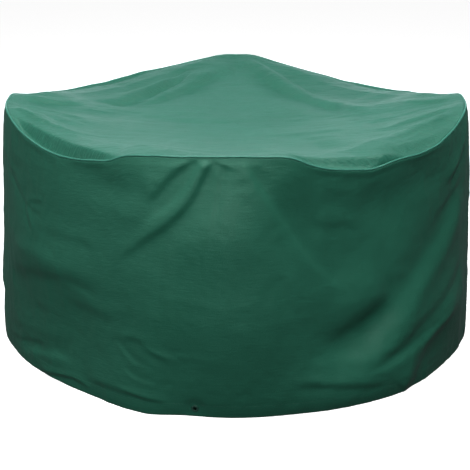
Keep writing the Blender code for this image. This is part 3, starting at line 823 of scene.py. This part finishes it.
def hem_stitches(name, start, end, depth, material):
    """One row round the hem, on its outside or, at depth, on its turned-up ply."""
    count = round(math.radians(end - start) * ROUND_RADIUS / STITCH)
    angles = start + (np.arange(count) + 0.5) * (end - start) / count
    heights = np.full(count, HEM_HEIGHT - 6 * MM)
    outs = skirt_out(angles, heights)
    middles = skirt_point(angles, heights, depth)
    ways = unit(skirt_point(angles + 0.2, heights) - skirt_point(angles - 0.2, heights))
    return stitch_rows(name, middles, ways, outs if depth == 0.0 else -outs, material)


SEAM_STITCH_TURN = 0.28       # degrees from an upright seam to the stitches on each side of it


def seam_stitches(name, at, material):
    """Two rows beside an upright seam."""
    rim = float(rim_height(np.array([at]))[0])
    heights = np.arange(HEM_HEIGHT + 6 * MM, rim - 16 * MM, STITCH)
    angles = np.repeat([at - SEAM_STITCH_TURN, at + SEAM_STITCH_TURN], len(heights))
    heights = np.tile(heights, 2)
    outs = skirt_out(angles, heights)
    ways = unit(skirt_point(angles, heights + 2 * MM) - skirt_point(angles, heights - 2 * MM))
    return stitch_rows(name, skirt_point(angles, heights), ways, outs, material)


# Eyelets -------------------------------------------------------------------------------------------------

RING_SIDES = 40
RING_ROUNDING = 0.15 * MM     # of its edges


def turned_ring(name, profile, material):
    """A ring drawn out from a circle, step by step along a closed profile of (radius, height)."""
    no_selection()
    radius, height = profile[0]
    bpy.ops.mesh.primitive_circle_add(
        vertices=RING_SIDES, radius=radius, fill_type="NOTHING", location=(0.0, 0.0, height)
    )
    obj = bpy.context.object
    obj.name = obj.data.name = name
    bpy.ops.object.transform_apply(location=True, rotation=True, scale=True)
    bpy.ops.object.mode_set(mode="EDIT")
    bpy.ops.mesh.select_all(action="SELECT")
    for wide, high in profile[1:]:
        bpy.ops.mesh.extrude_region_move(TRANSFORM_OT_translate={"value": (0.0, 0.0, high - height)})
        grow = wide / radius
        bpy.ops.transform.resize(value=(grow, grow, 1.0), center_override=(0.0, 0.0, 0.0))
        radius, height = wide, high
    bpy.ops.mesh.select_all(action="SELECT")
    bpy.ops.mesh.region_to_loop()
    bpy.ops.mesh.bridge_edge_loops()
    bpy.ops.mesh.select_all(action="SELECT")
    bpy.ops.mesh.normals_make_consistent(inside=False)
    bpy.ops.object.mode_set(mode="OBJECT")
    bevel = obj.modifiers.new("rounding", "BEVEL")
    bevel.width = RING_ROUNDING
    bevel.segments = 3
    bevel.limit_method = "ANGLE"
    bpy.ops.object.modifier_apply(modifier="rounding")
    bpy.ops.object.shade_smooth_by_angle(angle=math.radians(35.0))
    obj.data.materials.append(material)
    return obj


def eyelet_profile():
    """Flange outside, barrel through both plies, and a lip rolled over the washer."""
    face = 1.5 * MM
    lip = -HEM_DEPTH - 1.5 * MM
    return [
        (6.0 * MM, face - 0.5 * MM), (6.5 * MM, face - 0.1 * MM), (7.2 * MM, face), (9.6 * MM, face),
        (11.2 * MM, face - 0.3 * MM), (12.0 * MM, face - 0.9 * MM), (12.0 * MM, 0.25 * MM),
        (6.8 * MM, 0.25 * MM), (6.8 * MM, lip), (8.4 * MM, lip), (8.4 * MM, lip - 0.5 * MM),
        (7.6 * MM, lip - 0.8 * MM), (6.6 * MM, lip - 0.8 * MM), (6.0 * MM, lip - 0.4 * MM),
    ]


def washer_profile():
    """A flat ring behind the hem's turned-up ply."""
    front = -HEM_DEPTH - 0.4 * MM
    rear = front - 0.8 * MM
    return [(7.1 * MM, front), (11.5 * MM, front), (11.5 * MM, rear), (7.1 * MM, rear)]


def eyelet_frame(at):
    """On the hem's outside at an eyelet, with its Z out of the cloth."""
    angle, height = np.array([at]), np.array([EYELET_HEIGHT])
    out = Vector(skirt_out(angle, height)[0])
    across = Vector((-math.sin(math.radians(at)), math.cos(math.radians(at)), 0.0))
    up = out.cross(across).normalized()
    turned = Matrix((across, up, out)).transposed().to_4x4()
    return Matrix.Translation(Vector(skirt_point(angle, height)[0])) @ turned


def set_on_hem(pattern, name, at):
    """A copy of a turned ring, with its own mesh, at an eyelet's place."""
    mesh = pattern.data.copy()
    mesh.name = name
    mesh.transform(eyelet_frame(at))
    return in_scene(name, mesh)


# Materials -----------------------------------------------------------------------------------------------

class Value:
    """A number that varies over a surface. Using it in an expression adds the Math nodes."""

    def __init__(self, nodes, socket):
        self.nodes = nodes
        self.socket = socket

    def output(self, which):
        """Another output of the same node."""
        return Value(self.nodes, self.socket.node.outputs[which])

    def math(self, operation, *others):
        return self.nodes.add("ShaderNodeMath", {"operation": operation}, dict(enumerate((self, *others))))

    def __add__(self, other):
        return self.math("ADD", other)

    __radd__ = __add__

    def __sub__(self, other):
        return self.math("SUBTRACT", other)

    def __rsub__(self, other):
        return self.nodes.add("ShaderNodeMath", {"operation": "SUBTRACT"}, {0: other, 1: self})

    def __mul__(self, other):
        return self.math("MULTIPLY", other)

    __rmul__ = __mul__

    def __abs__(self):
        return self.math("ABSOLUTE")


class Nodes:
    """A node tree, to which nodes are added one at a time."""

    def __init__(self, tree):
        self.tree = tree

    def add(self, kind, settings=None, inputs=None):
        """A new node, with its settings and what its sockets take. Returns its first output."""
        node = self.tree.nodes.new(kind)
        for setting, value in (settings or {}).items():
            if setting == "stops":
                self.set_stops(node, value)
            else:
                setattr(node, setting, value)
        for socket, value in (inputs or {}).items():
            self.feed(node.inputs[socket], value)
        return Value(self, node.outputs[0])

    def feed(self, socket, value):
        if isinstance(value, Value):
            self.tree.links.new(value.socket, socket)
        else:
            socket.default_value = value

    @staticmethod
    def set_stops(node, stops):
        ramp = node.color_ramp
        while len(ramp.elements) > 1:
            ramp.elements.remove(ramp.elements[-1])
        for i, (place, colour) in enumerate(stops):
            element = ramp.elements[0] if i == 0 else ramp.elements.new(place)
            element.position = place
            element.color = (*colour, 1.0)


class Finish(Nodes):
    """A material with a Principled shader."""

    def __init__(self, name, roughness, **constants):
        self.material = bpy.data.materials.new(name)
        self.material.use_nodes = True
        super().__init__(self.material.node_tree)
        self.shader = self.tree.nodes["Principled BSDF"]
        self.shader.inputs["Roughness"].default_value = roughness
        for socket, value in constants.items():
            self.shader.inputs[socket.replace("_", " ")].default_value = value

    def place(self):
        """Metres in the object's own frame."""
        return self.add("ShaderNodeTexCoord").output("Object")

    def cloth_place(self, scale=(1.0, 1.0, 1.0)):
        """Metres along the cloth, from its own map."""
        place = self.add("ShaderNodeUVMap", {"uv_map": "Cloth"})
        return self.add("ShaderNodeMapping", None, {"Vector": place, "Scale": scale})

    def noise(self, place, scale, detail=3.0, rough=0.55):
        inputs = {"Vector": place, "Scale": scale, "Detail": detail, "Roughness": rough}
        return self.add("ShaderNodeTexNoise", None, inputs)

    def weave(self, place):
        """The cloth's threads, from -1 to 1."""
        along = self.add("ShaderNodeSeparateXYZ", None, {0: place})
        return wave(along, THREAD_PITCH) * wave(along.output(1), THREAD_PITCH)

    def mix(self, amount, first, second, blend="MIX"):
        settings = {"data_type": "RGBA", "blend_type": blend}
        return self.add("ShaderNodeMix", settings, {0: amount, 6: first, 7: second}).output(2)

    def grey(self, shade):
        return self.add("ShaderNodeCombineColor", None, {0: shade, 1: shade, 2: shade})

    def shaded(self, colour, shade):
        """colour, times a shade that varies."""
        return self.mix(1.0, colour, self.grey(shade), "MULTIPLY")

    def bump(self, height, distance, strength=1.0, normal=None):
        inputs = {"Height": height, "Distance": distance, "Strength": strength}
        if normal is not None:
            inputs["Normal"] = normal
        return self.add("ShaderNodeBump", None, inputs)

    def set(self, socket, value):
        self.feed(self.shader.inputs[socket], value)


THREAD_PITCH = 1.3 * MM


def wave(place_along, pitch):
    """From -1 to 1, once every pitch metres."""
    return (place_along * (math.tau / pitch)).math("SINE")


def cloth_finish(name, colour, pale, roughness, dust_and_sheen, ribbed, shine=0.32):
    """Coated woven cloth: a fine weave, ribs along it, small wrinkles, and rubbed, dusty patches. The pale
    colour, and the share of it that shows, also carry painted sheen on the top panel.
    """
    finish = Finish(name, roughness, Sheen_Weight=0.03, Sheen_Roughness=0.4, Specular_IOR_Level=shine)
    finish.shader.inputs["Sheen Tint"].default_value = (0.75, 0.95, 1.0, 1.0)
    place = finish.cloth_place()
    weave = finish.weave(place)
    ribs = finish.noise(finish.cloth_place((24.0, 150.0, 1.0)), 1.0, 3.0)
    wrinkles = abs(finish.noise(finish.cloth_place((18.0, 42.0, 1.0)), 1.0, 3.0, 0.6) - 0.5)
    broad = finish.noise(place, 3.1, 4.0, 0.6)
    specks = finish.noise(place, 300.0, 2.0, 0.75)
    slubs = finish.noise(finish.cloth_place((260.0, 26.0, 1.0)), 1.0, 2.0, 0.6)
    shade = 0.70 + broad * 0.22 + specks * 0.26 + slubs * 0.12 + weave * 0.03
    # pale patches: dust, and on the top panel partly painted sheen
    tint = finish.mix(broad * dust_and_sheen, (*colour, 1.0), (*pale, 1.0))
    finish.set("Base Color", finish.shaded(tint, shade))
    finish.set("Roughness", roughness - 0.06 + broad * 0.12)
    small = finish.bump(weave, 0.12 * MM, 0.5)
    across = finish.bump(ribs, 5.0 * MM, ribbed, small)
    finish.set("Normal", finish.bump(wrinkles, 4.0 * MM, 0.3 + 0.4 * ribbed, across))
    return finish.material


def plastic_finish(name, colour, roughness):
    """Moulded plastic, slightly uneven in colour and polish, with fine scuffs."""
    finish = Finish(name, roughness)
    place = finish.place()
    broad = finish.noise(place, 90.0, 3.0)
    fine = finish.noise(place, 900.0, 2.0, 0.7)
    finish.set("Base Color", finish.shaded((*colour, 1.0), 0.85 + broad * 0.2 + fine * 0.1))
    finish.set("Roughness", roughness - 0.08 + fine * 0.16)
    finish.set("Normal", finish.bump(fine, 0.05 * MM, 0.5))
    return finish.material


def tape_finish(name, colour):
    """Bonded tape: glossy, with the cloth's weave pressed through it and small bubbles."""
    finish = Finish(name, 0.3, Coat_Weight=0.3, Coat_Roughness=0.2)
    place = finish.cloth_place()
    bubbles = finish.noise(place, 160.0, 2.0)
    finish.set("Base Color", finish.shaded((*colour, 1.0), 0.85 + bubbles * 0.3))
    finish.set("Roughness", 0.22 + bubbles * 0.18)
    pressed = finish.bump(finish.weave(place), 0.08 * MM, 0.5)
    finish.set("Normal", finish.bump(bubbles, 0.3 * MM, 0.5, pressed))
    return finish.material


PALE = (0.9, 0.9, 0.9, 1.0)   # the floor and the backdrop
GLOW_START = 0.78             # metres from the floor's middle
GLOW_TURN = 0.025             # from no glow to all of it


def floor_finish():
    """A plain pale floor that stays white under soft light. It has no light of its own under the cover."""
    finish = Finish("pale_floor", 0.9)
    finish.shader.inputs["Base Color"].default_value = PALE
    finish.shader.inputs["Emission Strength"].default_value = 0.85
    away = finish.add("ShaderNodeVectorMath", {"operation": "LENGTH"}, {0: finish.place()}).output("Value")
    open_floor = finish.add("ShaderNodeClamp", None, {"Value": (away - GLOW_START) * (1.0 / GLOW_TURN)})
    finish.set("Emission Color", finish.grey(open_floor))
    return finish.material


# Camera, light and floor ---------------------------------------------------------------------------------

CAMERA_PLACE = (0.0, -5.69, 2.1375)
CAMERA_TILT = 17.46           # degrees down from level
SENSOR_WIDTH = 36.0           # millimetres, as the lens is
LENS = 126.9
CAMERA_SHIFT = -0.002
FLOOR_SIZE = 60.0

WHITE = (1.0, 1.0, 1.0)

# Softboxes: name, place, target, size, power in watts and colour
SOFTBOXES = (
    ("overhead", (0.0, -0.65, 3.1), (0.0, -0.20, 0.4), (4.0, 2.4), 138.0, WHITE),
    ("front", (0.0, -5.0, 3.4), (0.0, 0.0, 0.4), (4.0, 1.5), 140.0, WHITE),
    ("left", (-4.5, -3.0, 2.4), (0.0, 0.0, 0.4), (2.0, 1.5), 42.0, WHITE),
    ("back", (0.0, 4.5, 2.2), (0.0, 0.0, 0.7), (5.0, 1.6), 28.0, (0.60, 1.0, 0.98)),
    ("low back", (0.0, 5.0, 0.8), (0.0, 0.0, 0.4), (5.0, 0.9), 26.0, (0.80, 0.97, 1.0)),
)


def place_camera():
    camera = bpy.data.cameras.new("camera")
    camera.sensor_width = SENSOR_WIDTH
    camera.lens = LENS
    camera.shift_x = CAMERA_SHIFT
    seen_from = in_scene("camera", camera)
    seen_from.location = CAMERA_PLACE
    seen_from.rotation_euler = (math.radians(90.0 - CAMERA_TILT), 0.0, 0.0)
    bpy.context.scene.camera = seen_from


def softbox(name, place, target, size, power, colour):
    light = bpy.data.lights.new(name, "AREA")
    light.shape = "RECTANGLE"
    light.size, light.size_y = size
    light.energy = power
    light.color = colour
    obj = in_scene(name, light)
    obj.visible_camera = False
    obj.location = place
    obj.rotation_euler = (Vector(target) - Vector(place)).to_track_quat("-Z", "Y").to_euler()


def light_the_room():
    """Faint light from all round, dimmer from overhead, and a pale backdrop that only the camera sees."""
    world = bpy.data.worlds.new("studio")
    bpy.context.scene.world = world
    world.use_nodes = True
    room = Nodes(world.node_tree)
    height = room.add("ShaderNodeSeparateXYZ", None, {0: room.add("ShaderNodeTexCoord")}).output("Z")
    stops = ((0.0, WHITE), (0.6, (0.6, 0.6, 0.6)))
    colour = room.add("ShaderNodeValToRGB", {"stops": stops}, {0: height})
    light = room.add("ShaderNodeBackground", None, {"Color": colour, "Strength": 0.09})
    backdrop = room.add("ShaderNodeBackground", None, {"Color": PALE})
    seen = room.add("ShaderNodeLightPath").output("Is Camera Ray")
    both = room.add("ShaderNodeMixShader", None, {0: seen, 1: light, 2: backdrop})
    room.feed(world.node_tree.nodes["World Output"].inputs["Surface"], both)


def lay_floor():
    no_selection()
    bpy.ops.mesh.primitive_plane_add(size=FLOOR_SIZE, location=(0.0, 0.0, 0.0))
    floor = bpy.context.object
    floor.name = "floor"
    floor.data.materials.append(floor_finish())
    floor.visible_diffuse = False
    floor.visible_glossy = False


def set_stage():
    place_camera()
    for box in SOFTBOXES:
        softbox(*box)
    light_the_room()
    lay_floor()
    bpy.context.scene.view_settings.view_transform = "Standard"


# The cover -----------------------------------------------------------------------------------------------

def add(obj, slot, *nodes):
    """obj rides on the cover and stands for these nodes. slot is not used."""
    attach(obj, BODY)
    if nodes:
        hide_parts(*nodes)
    return obj


set_stage()

# The top panel is the skirt's cloth. Its pale colour is bluer and shows more (0.5 against 0.2): partly dust
# settled on top, partly painted sheen.
TOP_GREEN = (0.0155, 0.116, 0.074)
TOP_DUST_AND_PAINTED_SHEEN = (0.028, 0.144, 0.104)
SKIRT_GREEN = (0.0145, 0.113, 0.070)
SKIRT_DUST = (0.028, 0.136, 0.094)
# The piping is the skirt's cloth, painted lighter: a painted highlight for the light its round edge catches.
# The second green is also its dust.
PIPING_GREEN_PAINTED_HIGHLIGHT = (0.030, 0.17, 0.120)
PIPING_DUST_AND_PAINTED_HIGHLIGHT = (0.06, 0.22, 0.17)
CORD_WHITE = (0.60, 0.60, 0.58)
TAPE_GREEN = (0.012, 0.055, 0.038)
EYELET_GREEN = (0.014, 0.070, 0.048)
THREAD_GREEN = (0.016, 0.085, 0.058)

# the top's larger, bluer pale share is partly painted sheen
top_cloth = cloth_finish("top_cloth", TOP_GREEN, TOP_DUST_AND_PAINTED_SHEEN, 0.40, 0.5, 1.0)
skirt_cloth = cloth_finish("skirt_cloth", SKIRT_GREEN, SKIRT_DUST, 0.50, 0.2, 0.14, shine=0.24)
# piping colours lightened as a painted highlight
piping_cloth = cloth_finish("piping_cloth", PIPING_GREEN_PAINTED_HIGHLIGHT, PIPING_DUST_AND_PAINTED_HIGHLIGHT, 0.38, 0.4, 0.3)
cord_plastic = plastic_finish("cord_plastic", CORD_WHITE, 0.5)
tape_plastic = tape_finish("tape_plastic", TAPE_GREEN)
eyelet_plastic = plastic_finish("eyelet_plastic", EYELET_GREEN, 0.38)
thread = plastic_finish("thread", THREAD_GREEN, 0.6)

front_start, front_end = SEAMS["left"], SEAMS["right"] + FULL_TURN
back_start, back_end = SEAMS["right"], SEAMS["left"]
top = add(make_top("cover_top", top_cloth), "cover_cloth", "top_panel")
front = make_skirt("cover_skirt_front", front_start, front_end, skirt_cloth)
add(front, "cover_cloth", "skirt_front")
back = make_skirt("cover_skirt_back", back_start, back_end, skirt_cloth)
add(back, "cover_cloth", "skirt_back")

piping = ring_round_rim("rim_piping_strip", piping_outline(), piping_cloth, PIPING_STEPS)
add(piping, "piping_cloth", "rim_piping")
cord_sides = round_section(CORD_RADIUS, 0.0, 330.0, 12)
cord = ring_round_rim("piping_filler_cord", cord_sides, cord_plastic, CORD_STEPS)
add(cord, "cord_plastic", "piping_cord")

tapes = {}
for side, at in SEAMS.items():
    tape = make_tape(f"inside_tape_{side}", at, tape_plastic)
    tapes[side] = add(tape, "seam_tape", f"seam_tape_{side}")

front_trim, back_trim = [tapes["left"]], [tapes["right"]]
for trim, side, start, end in (
    (front_trim, "front", front_start, front_end), (back_trim, "back", back_start, back_end),
):
    trim.append(add(hem_stitches(f"hem_stitches_{side}", start, end, 0.0, thread), "cover_cloth"))
    inside = hem_stitches(f"hem_stitches_{side}_inside", start, end, HEM_DEPTH, thread)
    trim.append(add(inside, "cover_cloth"))
for trim, side in ((front_trim, "left"), (back_trim, "right")):
    trim.append(add(seam_stitches(f"seam_stitches_{side}", SEAMS[side], thread), "cover_cloth"))

eyelet = turned_ring("eyelet_pattern", eyelet_profile(), eyelet_plastic)
washer = turned_ring("washer_pattern", washer_profile(), eyelet_plastic)
for side, at in EYELETS.items():
    trim = front_trim if side in ("front", "right") else back_trim
    moulded = set_on_hem(eyelet, f"moulded_eyelet_{side}", at)
    trim.append(add(moulded, "eyelet_plastic", f"eyelet_{side}"))
    ring = set_on_hem(washer, f"moulded_washer_{side}", at)
    trim.append(add(ring, "eyelet_plastic", f"eyelet_washer_{side}"))
for pattern in (eyelet, washer):
    bpy.data.objects.remove(pattern, do_unlink=True)
